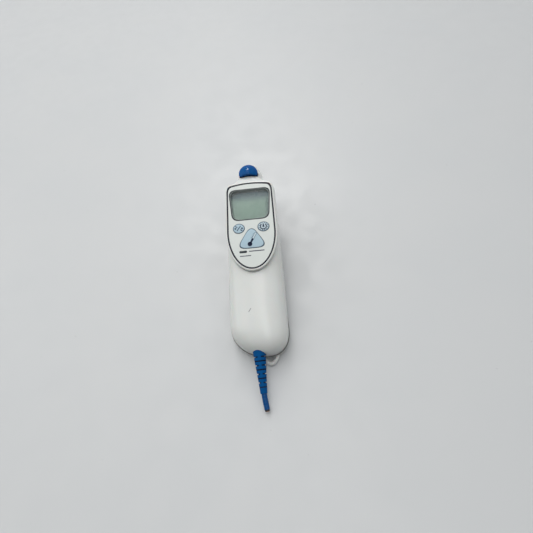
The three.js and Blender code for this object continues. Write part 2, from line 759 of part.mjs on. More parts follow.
addShells();
addPanel();
addDisplay();
addBoard();
addEjector();
addProbe();
addBatteries();
addCable();

// Laid down: the handle tilts up towards the head, its lowest points touch z = 0, and the
// footprint's centre is at the origin.
handle.rotation.x = REST_TILT;
const thermometer = new THREE.Group();
thermometer.add(handle);
thermometer.updateMatrixWorld(true);
const footprint = new THREE.Box3().setFromObject(thermometer, true);
const centre = footprint.getCenter(new THREE.Vector3());
handle.position.set(-centre.x, -centre.y, -footprint.min.z);

export default thermometer;
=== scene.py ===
"""Looks for the infrared ear thermometer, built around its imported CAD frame.

Every shape is made in the handle's own frame, in millimetres: x across, y from the heel to the
head, z out of the display, with z = 0 on the face of the display panel. HANDLE places it on the
CAD part. A shape that stands for a CAD node is shown in its place and moves with its body.
"""

import json
import math

import bmesh
import bpy
from mathutils import Matrix, Vector

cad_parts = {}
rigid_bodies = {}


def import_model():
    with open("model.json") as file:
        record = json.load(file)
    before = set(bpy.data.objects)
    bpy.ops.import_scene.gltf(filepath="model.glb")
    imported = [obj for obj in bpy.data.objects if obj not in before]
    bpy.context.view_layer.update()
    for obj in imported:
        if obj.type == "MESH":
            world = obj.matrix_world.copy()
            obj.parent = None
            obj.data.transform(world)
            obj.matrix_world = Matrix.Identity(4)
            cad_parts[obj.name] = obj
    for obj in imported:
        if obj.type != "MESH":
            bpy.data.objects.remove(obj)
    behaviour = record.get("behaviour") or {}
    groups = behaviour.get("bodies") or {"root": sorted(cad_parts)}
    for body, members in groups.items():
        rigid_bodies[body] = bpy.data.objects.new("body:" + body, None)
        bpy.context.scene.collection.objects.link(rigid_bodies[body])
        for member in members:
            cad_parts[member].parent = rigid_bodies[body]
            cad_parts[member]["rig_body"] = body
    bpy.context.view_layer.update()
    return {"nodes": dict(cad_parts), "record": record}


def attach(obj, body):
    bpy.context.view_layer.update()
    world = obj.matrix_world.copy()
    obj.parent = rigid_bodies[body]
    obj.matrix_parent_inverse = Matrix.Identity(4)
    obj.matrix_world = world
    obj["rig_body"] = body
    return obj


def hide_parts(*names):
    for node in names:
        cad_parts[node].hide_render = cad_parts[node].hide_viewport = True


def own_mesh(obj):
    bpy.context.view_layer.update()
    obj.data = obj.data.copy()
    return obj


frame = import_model()

MM = 0.001

# ---- dimensions of the CAD part, in millimetres ---

GAP = 0.3
WALL = 2.2
HEEL_END = -1.5
HEAD_END = 178
HANDLE_HALF = 24.6
PANEL_HALF = 22.3
WAIST_Y = 116
HEEL_CORNER_Y = 22
HEEL_LEAN = 0.17
HEEL_LEAN_END = 55
HEEL_EXPONENT = {"front": 3.2, "rear": 4.5}
SHOULDER_START = 149
SHOULDER_END = 160
HEAD_HALF = 12.6
PARTING_Z = -24
CROWN_Z = -3.5
HEAD_CROWN_Z = -0.8
BACK_Z = -34
REAR_BULGE = 11.5
REAR_EXPONENT = 3
FOOT_Y = 13

TIP_Y = 69
RING_HALF = 20.6
RING_SHOULDER_Y = 103
RING_CORNER_Y = 140.5
RING_TOP_Y = 149.8
RING_NARROWING = 0.6
RING_ARCH = {"inset": 4.9, "drop": 1.5, "shoulder": 0.3}
WINDOW = {"top_half": 18.5, "bottom_half": 16, "low": 114, "high": 143.9, "reach": 6.5}
SCAN_KEY = {"half": 13.9, "low": 87, "apex": 109.2, "reach": 9.3, "miter": 1.6}
PLATFORM_MARGIN = 1.9
PANEL_PLATE = 2.8
OVERLAY = 0.6
OVERLAY_MARGIN = 0.5

SMALL_KEY_X = 10.8
SMALL_KEY_Y = 106.1
SMALL_KEY_HALF = (5.1, 4.55)
KEY_PROUD = 0.35

PROBE_Y = 161
PROBE_TIP_Z = -66
SLEEVE_R = 10.2
SLEEVE_BORE_R = 7.1
SLEEVE_END_Z = -44
BUTTON_HALF = 8.7
BUTTON_BOTTOM_Y = 157.4
BUTTON_ROUND_Y = 160.6
BUTTON_TOP_Y = 168.8
BUTTON_CORNER = 2.6
BUTTON_HOLLOW = 0.6
EJECT_SPRING = {"r": 6, "low": -22.6, "height": 6, "turns": 3, "wire": 0.5}
BUTTON_DOME = {"y": 161, "z": -9.5, "r": 12.5, "stretch": 1.05}

BAY = {"x": 16.9, "low": 28, "high": 79, "wall": 2.4, "top": -19}
DOOR_HALF = 17
DOOR_HIGH = 87
DOOR_INNER_Z = -32.2
SCREWS = [(-14, 17), (14, 17), (-18.6, 97.5), (18.6, 97.5)]
SCREW = {"head_z": -27, "head_r": 2.8, "bore_r": 1.4, "boss_z": -20.3, "boss_r": 3.6}
GRIP = {"count": 5, "half": 7, "from_edge": 8, "pitch": 2.4, "width": 1.1, "depth": 0.6}

BOOT_ROOT = Vector((-0.8, 4, -14.5))
BOOT_AIM = Vector((0.05, -1, -0.07))
BOOT_ROOT_R = 4.9
BOOT_END_R = 2.8
BOOT_SWELL = 0.45  # only in this model: the soft root bulges beyond the CAD part's
BOOT_COLLAR = 6.3
BOOT_LENGTH = 35.8
SLOTS = {"count": 8, "pitch": 3.4, "width": 0.95, "depth": 1.1}
CABLE_R = 2.25
CABLE_LENGTH = 49.2
CABLE_BARED = 1.3
CABLE_SWING = 1.3
SWING_START = 30
SHEATH_R = 2
LOOP = {"x": 7.6, "y": 2.5, "z": -27.5, "half": 6, "reach": 10.4, "r": 1.75}

# How far the shapes that only cut reach: clear of the handle, and into its hollow for the floors.
CUT_X = (-60, 60)
CUT_Y = (-60, 240)
CUT_Z = (-90, 20)
CUT_BELOW = -60
CUT_ABOVE = 8
CUT_PAST_HEEL = -30
KEY_HOLE_FLOOR = -8
BUTTON_HOLE_FLOOR = -16


def handle_matrix():
    """From the handle's frame in millimetres to the row frame in metres, by the flat back's mount."""
    mount = frame["record"]["mounts"][0]
    axis = Vector(mount["axis"])
    turn = Matrix.Rotation(math.atan2(axis.y, -axis.z), 4, "X") @ Matrix.Scale(MM, 4)
    back_face = Vector((0, 112, BACK_Z))
    return Matrix.Translation(Vector(mount["pos_m"]) - turn @ back_face) @ turn


HANDLE = handle_matrix()

# ---- solids ------------------------


def loft(bm, rings, bands=None, loop=False, caps=True):
    """Skins rings of points in turn. bands gives the material index of each band between rings."""
    made = [[bm.verts.new(point) for point in ring] for ring in rings]
    following = made[1:] + made[:1] if loop else made[1:]
    for band, (low, high) in enumerate(zip(made, following)):
        for j in range(len(low)):
            k = (j + 1) % len(low)
            face = bm.faces.new((low[j], low[k], high[k], high[j]))
            face.material_index = bands[band] if bands else 0
    if caps and not loop:
        bm.faces.new(made[0][::-1])
        bm.faces.new(made[-1]).material_index = bands[-1] if bands else 0
    return made


def fill(bm, loops, material=0):
    """Closes a flat face whose edge is the first loop and whose holes are the others."""
    edges = []
    for ring in loops:
        for j in range(len(ring)):
            edges.append(bm.edges.get((ring[j], ring[(j + 1) % len(ring)])))
    made = bmesh.ops.triangle_fill(bm, use_beauty=True, edges=edges)
    for item in made["geom"]:
        if isinstance(item, bmesh.types.BMFace):
            item.material_index = material


def plate(bm, outline, profile, holes=(), bands=None, hole_band=0, top=0):
    """A plate whose edge follows profile, pairs of (growth of the outline, z) from the bottom up."""
    outer = loft(bm, [ring_at(outline(grow), z) for grow, z in profile], bands, caps=False)
    low, high = [outer[0]], [outer[-1]]
    levels = (profile[0][1], profile[-1][1])
    for hole in holes:
        inner = loft(bm, [ring_at(hole, z) for z in levels], [hole_band], caps=False)
        low.append(inner[0])
        high.append(inner[-1])
    fill(bm, low)
    fill(bm, high, top)


def ring_at(points, z):
    return [(x, y, z) for x, y in points]


def rounding(edge, top, radius, steps=5):
    """(growth, z) pairs of an edge rounded from its side up to its top."""
    pairs = []
    for i in range(steps + 1):
        angle = 0.5 * math.pi * i / steps
        pairs.append((edge - radius + radius * math.cos(angle), top - radius + radius * math.sin(angle)))
    return pairs


def circle(radius, z, steps):
    angles = (2 * math.pi * j / steps for j in range(steps))
    return [(radius * math.cos(a), radius * math.sin(a), z) for a in angles]


def lathe(bm, profile, steps=64, loop=False):
    """Turns (radius, z) pairs about the z axis."""
    loft(bm, [circle(radius, z, steps) for radius, z in profile], loop=loop)


def tube(bm, path, radius, steps=24):
    """A round bar along a list of points."""
    rings = []
    for i, point in enumerate(path):
        before = path[max(i - 1, 0)]
        after = path[min(i + 1, len(path) - 1)]
        along = (after - before).normalized()
        side = along.orthogonal() if i == 0 else (side - along * side.dot(along))
        side.normalize()
        over = along.cross(side)
        ring = []
        for j in range(steps):
            a = 2 * math.pi * j / steps
            ring.append(point + radius * (math.cos(a) * side + math.sin(a) * over))
        rings.append(ring)
    loft(bm, rings)


def box(bm, x, y, z):
    """A block between pairs of limits."""
    corners = [(x[0], y[0]), (x[1], y[0]), (x[1], y[1]), (x[0], y[1])]
    loft(bm, [ring_at(corners, z[0]), ring_at(corners, z[1])])


def turn_and_place(bm, matrix):
    bmesh.ops.transform(bm, matrix=matrix, verts=bm.verts)


def put_on_probe_axis(bm):
    turn_and_place(bm, Matrix.Translation((0, PROBE_Y, 0)))


def new_object(name, data):
    made = bpy.data.objects.new(name, data)
    bpy.context.scene.collection.objects.link(made)
    return made


def solid(build, *args, **settings):
    """Runs a function that builds into a bmesh and returns the result as an object."""
    bm = bmesh.new()
    build(bm, *args, **settings)
    bmesh.ops.remove_doubles(bm, verts=bm.verts, dist=1e-4)
    bmesh.ops.dissolve_degenerate(bm, edges=bm.edges, dist=1e-4)
    bmesh.ops.recalc_face_normals(bm, faces=bm.faces)
    mesh = bpy.data.meshes.new("solid")
    bm.to_mesh(mesh)
    bm.free()
    return new_object("solid", mesh)


def combine(target, operation, tools):
    """Joins tools to the target, cuts them from it or keeps what they share; the tools are used up."""
    for tool in tools:
        modifier = target.modifiers.new("combine", "BOOLEAN")
        modifier.solver = "EXACT"
        modifier.operation = operation
        modifier.object = tool
    graph = bpy.context.evaluated_depsgraph_get()
    mesh = bpy.data.meshes.new_from_object(target.evaluated_get(graph))
    target.modifiers.clear()
    target.data = mesh
    for tool in tools:
        bpy.data.objects.remove(tool)
    return target


FINISH_SLOTS = {part["node"]: part["material_slot"] for part in frame["record"]["subparts"]}


def show(node, shape, *materials, sharp=35):
    """Shows a shape in place of a CAD node, on that node's body."""
    shape.name = node + "_fine"
    mesh = shape.data
    mesh.transform(HANDLE)
    for material in materials:
        mesh.materials.append(material)
    mesh.polygons.foreach_set("use_smooth", [True] * len(mesh.polygons))
    mesh.set_sharp_from_angle(angle=math.radians(sharp))
    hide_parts(node)
    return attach(shape, frame["nodes"][node]["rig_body"])


# ---- outlines ----------------------


def mix(a, b, share):
    return a + (b - a) * share


def smoothstep(start, end, value):
    share = min(max((value - start) / (end - start), 0), 1)
    return share * share * (3 - 2 * share)


def bend(start, control, end, steps=12):
    """Points of a quadratic curve, without its start."""
    points = []
    for i in range(1, steps + 1):
        t = i / steps
        a, b = Vector(start).lerp(Vector(control), t), Vector(control).lerp(Vector(end), t)
        points.append(tuple(a.lerp(b, t)))
    return points


def ellipse(x, y, half_x, half_y, start=0.0, end=2 * math.pi, steps=64):
    """Points of an elliptical arc; a full turn leaves out its last point."""
    full = abs(end - start - 2 * math.pi) < 1e-6
    count = steps if full else steps + 1
    angles = (start + (end - start) * i / steps for i in range(count))
    return [(x + half_x * math.cos(a), y + half_y * math.sin(a)) for a in angles]


def shield(grow):
    """The display panel's outline, grown from the ring's centre line."""
    half = RING_HALF + grow
    corner = half - RING_NARROWING
    arch = half - RING_ARCH["inset"]
    arch_y = RING_TOP_Y - RING_ARCH["drop"] + grow
    shoulder_y = arch_y - RING_ARCH["shoulder"]
    depth = RING_SHOULDER_Y - TIP_Y + grow
    points = ellipse(0, RING_SHOULDER_Y, half, depth, math.pi, 2 * math.pi, 72)
    points.append((corner, RING_CORNER_Y))
    points += bend((corner, RING_CORNER_Y), (corner, shoulder_y), (arch, arch_y))
    points += bend((arch, arch_y), (0, 2 * (RING_TOP_Y + grow) - arch_y), (-arch, arch_y), 24)
    points += bend((-arch, arch_y), (-corner, shoulder_y), (-corner, RING_CORNER_Y))
    return points


def rounded(corners, reach, steps=12):
    """A polygon whose corners are rounded off, starting reach away from each corner."""
    points = []
    for i, corner in enumerate(corners):
        here, last = Vector(corner), Vector(corners[i - 1])
        after = Vector(corners[(i + 1) % len(corners)])
        start = here + (last - here).normalized() * reach
        end = here + (after - here).normalized() * reach
        points.append(tuple(start))
        points += bend(start, here, end, steps)
    return points


def window_outline(grow):
    top, bottom = WINDOW["top_half"] + grow, WINDOW["bottom_half"] + grow
    low, high = WINDOW["low"] - grow, WINDOW["high"] + grow
    return rounded([(-bottom, low), (bottom, low), (top, high), (-top, high)], WINDOW["reach"])


def scan_key_outline(grow):
    corner = SCAN_KEY["miter"] * grow
    half, low = SCAN_KEY["half"] + corner, SCAN_KEY["low"] - grow
    return rounded([(-half, low), (half, low), (0, SCAN_KEY["apex"] + corner)], SCAN_KEY["reach"] + grow)


def small_key_outline(side):
    half_x, half_y = SMALL_KEY_HALF
    return lambda grow: ellipse(side * SMALL_KEY_X, SMALL_KEY_Y, half_x + grow, half_y + grow)


KEY_OUTLINES = (scan_key_outline, small_key_outline(-1), small_key_outline(1))


def button_outline(grow):
    """The eject button's D: flat at the bottom, round at the top."""
    half = BUTTON_HALF + grow
    low = BUTTON_BOTTOM_Y - grow
    foot = half - BUTTON_CORNER
    points = ellipse(0, BUTTON_ROUND_Y, half, BUTTON_TOP_Y - BUTTON_ROUND_Y + grow, 0, math.pi, 48)
    points += bend((-half, BUTTON_ROUND_Y), (-half, low), (-foot, low))
    points += bend((-foot, low), (0, low + BUTTON_HOLLOW), (foot, low))
    points += bend((foot, low), (half, low), (half, BUTTON_ROUND_Y))[:-1]
    return points


def bar_outline(start, end, width):
    """A straight bar with round ends between two points."""
    start, end = Vector(start), Vector(end)
    turn = math.atan2(end.y - start.y, end.x - start.x) - math.pi / 2
    half = width / 2
    first = ellipse(end.x, end.y, half, half, turn, turn + math.pi, 8)
    return first + ellipse(start.x, start.y, half, half, turn + math.pi, turn + 2 * math.pi, 8)


# ---- the handle's skin -------------

STATIONS = 210
SEAM = {"front": 0.35, "rear": 0.7, "height": 0.7}  # the shells fall back where they meet
HEEL_LIP = 0.8  # the rear shell stands proud of the front one round the heel
HEEL_LIP_END = 40
SEAM_STEPS = (0, 0.15, 0.28, 0.42, 0.6)
QUARTER_STEPS = 24


def round_off(distance, reach, exponent):
    """One quarter of a superellipse: 1 at the start, 0 at the end of its reach."""
    share = min(max(distance / reach, 0), 1)
    return (1 - share**exponent) ** (1 / exponent)


def half_width(y):
    heel = round_off(HEEL_CORNER_Y - y, HEEL_CORNER_Y - HEEL_END, 2.2)
    taper = mix(HANDLE_HALF, PANEL_HALF + 1, smoothstep(40, WAIST_Y, y))
    handle = heel * (taper - smoothstep(WAIST_Y - 1, WAIST_Y + 1.5, y))
    head = HEAD_HALF * round_off(y - SHOULDER_END, HEAD_END - SHOULDER_END, 2)
    return mix(handle, head, smoothstep(SHOULDER_START, SHOULDER_END, y))


def fullness(y, heel_exponent):
    slope_y = HEEL_CORNER_Y + 4
    heel = round_off(slope_y - y, slope_y - HEEL_END, heel_exponent)
    return heel * round_off(y - SHOULDER_START, HEAD_END - SHOULDER_START, 2.6)


def front_exponent(y):
    return 3 + smoothstep(60, 100, y) - 1.4 * smoothstep(SHOULDER_START, SHOULDER_END, y)


def crown(y):
    return mix(CROWN_Z, HEAD_CROWN_Z, smoothstep(143, 151, y))


def heel_lean(x, y):
    return y - HEEL_LEAN * x * (1 - smoothstep(0, HEEL_LEAN_END, y))


def back(y):
    tilt = math.atan2(BACK_Z - PROBE_TIP_Z, PROBE_Y - 3.6 - FOOT_Y)
    return BACK_Z + max(0, FOOT_Y - y) * math.tan(tilt)


def quarter(height, exponent):
    """(share of the half width, height) pairs from the parting plane to the middle."""
    if height < 1e-6:
        return [(0, 0)] * (len(SEAM_STEPS) + QUARTER_STEPS)
    near = [min(step / height, 0.1 * i) for i, step in enumerate(SEAM_STEPS)]
    first = math.asin(near[-1] ** (exponent / 2))
    shares = list(near)
    for i in range(1, QUARTER_STEPS + 1):
        angle = mix(first, math.pi / 2, i / QUARTER_STEPS)
        shares.append(math.sin(angle) ** (2 / exponent))
    return [((1 - min(s, 1) ** exponent) ** (1 / exponent), s * height) for s in shares]


def skin(bm, wall=0.0, seam=0.0, lip=0.0):
    """The handle's outer skin, or the surface that lies a wall's thickness inside it."""
    middle, reach = (HEEL_END + HEAD_END) / 2, (HEAD_END - HEEL_END) / 2
    rings = []
    for i in range(STATIONS + 1):
        y = middle - reach * math.cos(math.pi * i / STATIONS)
        front_full = fullness(y, HEEL_EXPONENT["front"])
        rear_full = fullness(y, HEEL_EXPONENT["rear"])
        front = quarter(front_full * (crown(y) - PARTING_Z - wall), front_exponent(y))
        rear = quarter(rear_full * (REAR_BULGE - wall), REAR_EXPONENT)
        section = front + [(-s, h) for s, h in front[-2::-1]]
        section += [(-s, -h) for s, h in rear[1:]] + [(s, -h) for s, h in rear[-2:0:-1]]
        thickness = wall - lip * (1 - smoothstep(HEEL_CORNER_Y, HEEL_LIP_END, y))
        ring = []
        for share, rise in section:
            inset = thickness + seam * max(0, 1 - abs(rise) / SEAM["height"]) ** 2
            x = share * half_width(y) * (1 - inset / HANDLE_HALF)
            lean_y = heel_lean(x, middle + (y - middle) * (1 - inset / reach))
            ring.append((x, lean_y, max(PARTING_Z + rise, back(lean_y) + wall)))
        rings.append(ring)
    loft(bm, rings)


def half_space(bm, above):
    """All that lies on one side of the parting plane, less half of the shells' gap."""
    z = (PARTING_Z + GAP / 2, CUT_Z[1]) if above else (CUT_Z[0], PARTING_Z - GAP / 2)
    box(bm, CUT_X, CUT_Y, z)


# ---- shells ------------------------


def boot_matrix():
    """The boot's axis as z, with x kept across the handle; z = 0 is at the root."""
    along = BOOT_AIM.normalized()
    up = (Vector((0, 0, 1)) - along * along.z).normalized()
    turn = Matrix((up.cross(along), up, along)).transposed()
    return Matrix.Translation(BOOT_ROOT) @ turn.to_4x4()


def boot_hole(bm):
    radius = BOOT_ROOT_R + BOOT_SWELL + GAP / 2
    lathe(bm, [(radius, -8), (radius, 20)])
    turn_and_place(bm, boot_matrix())


def recess(bm, outline, grow, low, material=0):
    """What is cut away above low, inside an outline of the panel's face."""
    plate(bm, outline, [(grow, low), (grow, CUT_ABOVE)], bands=[material])


def platform(bm):
    plate(bm, shield, [(PLATFORM_MARGIN, -16)] + rounding(PLATFORM_MARGIN, 0, 0.7))


def front_shell():
    """The upper shell with the panel platform, hollow, with its holes."""
    shape = combine(solid(skin, seam=SEAM["front"]), "UNION", [solid(platform)])
    cuts = [
        solid(skin, wall=WALL),
        solid(lambda bm: plate(bm, shield, [(-0.6, -30), (-0.6, -PANEL_PLATE)])),
        solid(recess, shield, OVERLAY_MARGIN + GAP / 2, -OVERLAY - GAP),
        solid(recess, window_outline, GAP, KEY_HOLE_FLOOR, material=1),
    ]
    cuts += [solid(recess, key, GAP / 2, KEY_HOLE_FLOOR, material=1) for key in KEY_OUTLINES]
    cuts += [solid(recess, button_outline, GAP / 2, BUTTON_HOLE_FLOOR), solid(boot_hole)]
    shape = combine(shape, "DIFFERENCE", cuts)
    return combine(shape, "INTERSECT", [solid(half_space, above=True)])


def collar(bm):
    """The short neck on the head's rear, round the ejector sleeve."""
    inner = SLEEVE_R + GAP
    edge = rounding(SLEEVE_R + 1.6, 40, 0.6)
    profile = [(inner, -27), (SLEEVE_R + 2.2, -27)] + [(r, -z) for r, z in edge] + [(inner, -40)]
    lathe(bm, profile, loop=True)
    put_on_probe_axis(bm)


def tether_loop(bm):
    path = []
    for i in range(41):
        angle = math.pi * i / 40
        x = LOOP["x"] - LOOP["half"] * math.cos(angle)
        path.append(Vector((x, LOOP["y"] - LOOP["reach"] * math.sin(angle), LOOP["z"])))
    tube(bm, path, LOOP["r"])


def post(bm, x, y, z, radius):
    lathe(bm, [(radius, z[0]), (radius, z[1])], 32)
    turn_and_place(bm, Matrix.Translation((x, y, 0)))


def posts_at_screws(z, radius):
    return [solid(post, x, y, z, radius) for x, y in SCREWS]


def door_region(bm, grow=0.0):
    """The space that the battery door fills, grown for the hole that takes it."""
    half = DOOR_HALF + grow
    along = (CUT_PAST_HEEL, DOOR_HIGH + grow)
    box(bm, (-half, half), along, (CUT_BELOW, DOOR_INNER_Z + grow))


def battery_tray(bm):
    """The block that the battery bay is cut from."""
    wide, wall = BAY["x"] + BAY["wall"], BAY["wall"]
    box(bm, (-wide, wide), (BAY["low"] - wall, BAY["high"] + wall), (BACK_Z, BAY["top"]))


def battery_bay(bm):
    box(bm, (-BAY["x"], BAY["x"]), (BAY["low"], BAY["high"]), (CUT_BELOW, BAY["top"] + 5))


def rear_shell():
    """The lower shell with the collar, tether loop, battery tray and screw bosses."""
    outer = solid(skin, seam=SEAM["rear"], lip=HEEL_LIP)
    shape = combine(outer, "DIFFERENCE", [solid(skin, wall=WALL)])
    inside = solid(battery_tray)
    bosses = posts_at_screws((BACK_Z, SCREW["boss_z"]), SCREW["boss_r"])
    inside = combine(inside, "UNION", bosses)
    inside = combine(inside, "INTERSECT", [solid(skin, wall=0.1)])
    shape = combine(shape, "UNION", [inside, solid(collar), solid(tether_loop)])
    cuts = [solid(battery_bay), solid(door_region, grow=GAP)]
    cuts.append(solid(post, 0, PROBE_Y, (CUT_BELOW, -10), SLEEVE_R + GAP))
    cuts += posts_at_screws((CUT_BELOW, SCREW["head_z"]), SCREW["head_r"])
    cuts += posts_at_screws((CUT_BELOW, -15), SCREW["bore_r"])
    shape = combine(shape, "DIFFERENCE", cuts)
    return combine(shape, "INTERSECT", [solid(half_space, above=False)])


def battery_door():
    """The sliding door in the flat back, with grip grooves for a thumb."""
    shape = combine(solid(skin, lip=HEEL_LIP), "INTERSECT", [solid(door_region)])
    across, depth = (-GRIP["half"], GRIP["half"]), (BACK_Z - 1, BACK_Z + GRIP["depth"])
    grooves = []
    for i in range(GRIP["count"]):
        y = DOOR_HIGH - GRIP["from_edge"] - GRIP["pitch"] * i
        grooves.append(solid(box, across, (y, y + GRIP["width"]), depth))
    return combine(shape, "DIFFERENCE", grooves)


# ---- panel, keys and display -------

FILM, RING, PRINT, FRAME, BEVEL_REFLECTION = range(5)  # material indices of the keypad overlay
CAP, RIM, ICON, PALE = range(4)  # and of the keys


def print_bar(bm, start, end, width, z, material):
    outline = lambda grow: bar_outline(start, end, width + 2 * grow)
    plate(bm, outline, [(0, z - 0.3), (0, z)], bands=[material], top=material)


def keypad_overlay(bm):
    """The film with its dark ring, the window's frame line with a painted reflection along its inner
    edge, and three plain bars under the keys.
    """
    edge = OVERLAY_MARGIN
    profile = [(edge, -OVERLAY), (edge, -0.12), (edge - 0.12, 0)]
    profile += [(edge - 0.25, -0.05), (0.1 - edge, -0.05), (-edge - 0.3, 0), (-edge - 0.45, 0.01)]
    holes = [window_outline(0.45)] + [key(0.15) for key in KEY_OUTLINES]
    plate(bm, shield, profile, holes, bands=[RING] * 5 + [FILM], top=FILM)
    # The lighter grey band on the frame's inner edge, and the ledge inside it, is a painted reflection.
    frame_profile = [(0.45, -OVERLAY), (0.45, 0.02), (0.3, 0.08), (-0.4, 0.05), (-0.45, -0.25)]
    frame_bands = [FRAME, FRAME, FRAME, BEVEL_REFLECTION]
    plate(bm, window_outline, frame_profile, [window_outline(-0.8)], frame_bands, FRAME, BEVEL_REFLECTION)
    print_bar(bm, (-10.2, 84.2), (-5.6, 84.2), 2.1, 0.05, FRAME)
    print_bar(bm, (-2.6, 84.3), (10, 84.3), 0.9, 0.05, PRINT)
    print_bar(bm, (-10.6, 80.4), (-1.6, 80.4), 0.8, 0.05, PRINT)


def key_cap(bm, outline, dome):
    """A key cap with a rounded edge, a printed rim and a slightly domed face."""
    rim = 0.6
    profile = [(0, -PANEL_PLATE)] + rounding(0, KEY_PROUD, 0.25, 3)
    profile += [(-rim, KEY_PROUD + 0.1 * dome), (-1.7, KEY_PROUD + 0.6 * dome), (-3, KEY_PROUD + dome)]
    bands = [RIM] * 5 + [CAP] * 2
    rings = [ring_at(outline(grow), z) for grow, z in profile]
    loft(bm, rings, bands)


def ring_print(bm, x, y, radius, width, z, material, start=0.0, end=2 * math.pi):
    """A printed ring, or part of one, with flat faces."""
    outer = ellipse(x, y, radius, radius, start, end, 32)
    inner = ellipse(x, y, radius - width, radius - width, start, end, 32)
    if len(outer) == 32:
        full = lambda grow: ellipse(x, y, radius + grow, radius + grow, steps=32)
        plate(bm, full, [(0, z - 0.3), (0, z)], [inner], [material], material, material)
    else:
        strip = outer + inner[::-1]
        loft(bm, [ring_at(strip, z - 0.3), ring_at(strip, z)], [material, material])


def scan_key(bm):
    """The large key with a thermometer drawn on it, leaning to the right."""
    key_cap(bm, scan_key_outline, 0.2)
    top = KEY_PROUD + 0.24
    bulb, neck, tip = Vector((-1.7, 90.7)), Vector((0.8, 95)), Vector((3.7, 100.3))
    print_bar(bm, neck - (tip - neck) * 0.05, tip, 2, top, RIM)
    print_bar(bm, neck, tip, 1.3, top + 0.02, PALE)
    print_bar(bm, bulb, neck, 1.6, top + 0.04, ICON)
    ball = lambda grow: ellipse(*bulb, 2.05, 2.05, steps=32)
    plate(bm, ball, [(0, 0.2), (0, top + 0.04)], (), [ICON], top=ICON)
    across = Vector((tip - neck).orthogonal()).normalized()
    for i in range(4):
        foot = neck.lerp(tip, 0.15 + 0.22 * i) + across * 1.2
        print_bar(bm, foot, foot + across * 0.7, 0.3, top + 0.02, RIM)


def unit_key(bm):
    """A small key with a slash between two rings and two dashes."""
    key_cap(bm, small_key_outline(-1), 0.12)
    x, y, top = -SMALL_KEY_X, SMALL_KEY_Y, KEY_PROUD + 0.16
    print_bar(bm, (x - 1.5, y - 1.9), (x + 1.5, y + 2.1), 0.7, top, ICON)
    for side in (-1, 1):
        ring_print(bm, x + 2.9 * side, y - 0.1 * side, 0.85, 0.6, top, ICON)
        dash = (x + 1.5 * side, y - 1.3 * side), (x + 2.7 * side, y - 2.1 * side)
        print_bar(bm, *dash, 0.75, top, ICON)


def timer_key(bm):
    """A small key with a timer dial: a ring open at the top, ticks and one hand."""
    key_cap(bm, small_key_outline(1), 0.12)
    x, y, top = SMALL_KEY_X, SMALL_KEY_Y, KEY_PROUD + 0.16
    face = lambda grow: ellipse(x, y, 4.2 + grow, 3.75 + grow, steps=32)
    plate(bm, face, [(0, top - 0.3), (0, top)], (), [PALE], top=PALE)
    opening = math.radians(40)
    ring_print(bm, x, y, 3, 0.85, top + 0.03, ICON, math.pi / 2 + opening, 2.5 * math.pi - opening)
    for i in range(12):
        angle = math.radians(30 * i + 15)
        out = Vector((math.cos(angle), 0.92 * math.sin(angle)))
        centre = Vector((x, y))
        print_bar(bm, centre + 3.5 * out, centre + 3.95 * out, 0.5, top + 0.03, ICON)
    hand = [(x - 0.9, y - 0.7), (x + 0.9, y - 0.7), (x + 0.25, y + 2.7), (x - 0.25, y + 2.7)]
    loft(bm, [ring_at(hand, top - 0.3), ring_at(hand, top + 0.04)], [ICON, ICON])


def display_window(bm):
    plate(bm, window_outline, [(0, -1.9)] + rounding(0, -0.7, 0.2, 3))


def lcd_holder(bm):
    """The dark well round the display."""
    outline = lambda grow: rounded([(-19.4, 112.4), (19.4, 112.4), (19.4, 145.4), (-19.4, 145.4)], 3)
    plate(bm, outline, [(0, -6), (0, -3.1)], [window_outline(-0.4)])
    plate(bm, window_outline, [(0.15, -3.3), (0.15, -2)], [window_outline(-0.4)])


def lcd_glass(bm):
    outline = lambda grow: rounded([(-17.6, 113.4), (17.6, 113.4), (17.6, 144.4), (-17.6, 144.4)], 2)
    plate(bm, outline, [(0, -5.6), (0, -4.3)])


# ---- ejector and probe -------------


def button_top(x, y):
    r, stretch = BUTTON_DOME["r"], BUTTON_DOME["stretch"]
    dy = (y - BUTTON_DOME["y"]) / stretch
    return BUTTON_DOME["z"] + math.sqrt(max(r * r - x * x - dy * dy, 0))


def eject_button(bm):
    """A domed cap with a crisp rim; its sides fall back inwards to the foot."""
    fillet = 0.45
    foot = button_outline(-0.6)
    rings = [ring_at(foot, -13), ring_at(foot, -1.6)]
    for inset, drop in [(0, -1.3)] + rounding(0, 0, fillet, 5):
        rings.append([(x, y, button_top(x, y) + drop) for x, y in button_outline(inset)])
    inner = button_outline(-fillet)
    middle = Vector((0, 162.5))
    for share in (0.88, 0.74, 0.6, 0.46, 0.32, 0.18, 0.06):
        points = [middle.lerp(Vector(point), share) for point in inner]
        rings.append([(x, y, button_top(x, y)) for x, y in points])
    loft(bm, rings)


def ejector_sleeve(bm):
    """The sleeve round the nozzle; it goes down with the button and pushes the probe cover off."""
    bore, end, chamfer = SLEEVE_BORE_R, SLEEVE_END_Z, 0.4
    foot = [(r, -z) for r, z in rounding(SLEEVE_R - 0.8, -end, 0.7)]
    mouth = [(bore + chamfer, end), (bore, end + chamfer)]
    lathe(bm, [(bore, -29), (SLEEVE_R, -29)] + foot + mouth, loop=True)
    put_on_probe_axis(bm)


def ejector_spring(bm):
    """The coil between the nozzle and the link."""
    r, low, wire = EJECT_SPRING["r"], EJECT_SPRING["low"], EJECT_SPRING["wire"]
    steps = 24 * EJECT_SPRING["turns"]
    path = []
    for i in range(steps + 1):
        angle = 2 * math.pi * i / 24
        z = low + wire / 2 + (EJECT_SPRING["height"] - wire) * i / steps
        path.append(Vector((r * math.cos(angle), r * math.sin(angle), z)))
    tube(bm, path, wire / 2, 10)
    put_on_probe_axis(bm)


def press_spring(spring):
    """Gives the coil a mesh of its own."""
    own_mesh(spring)


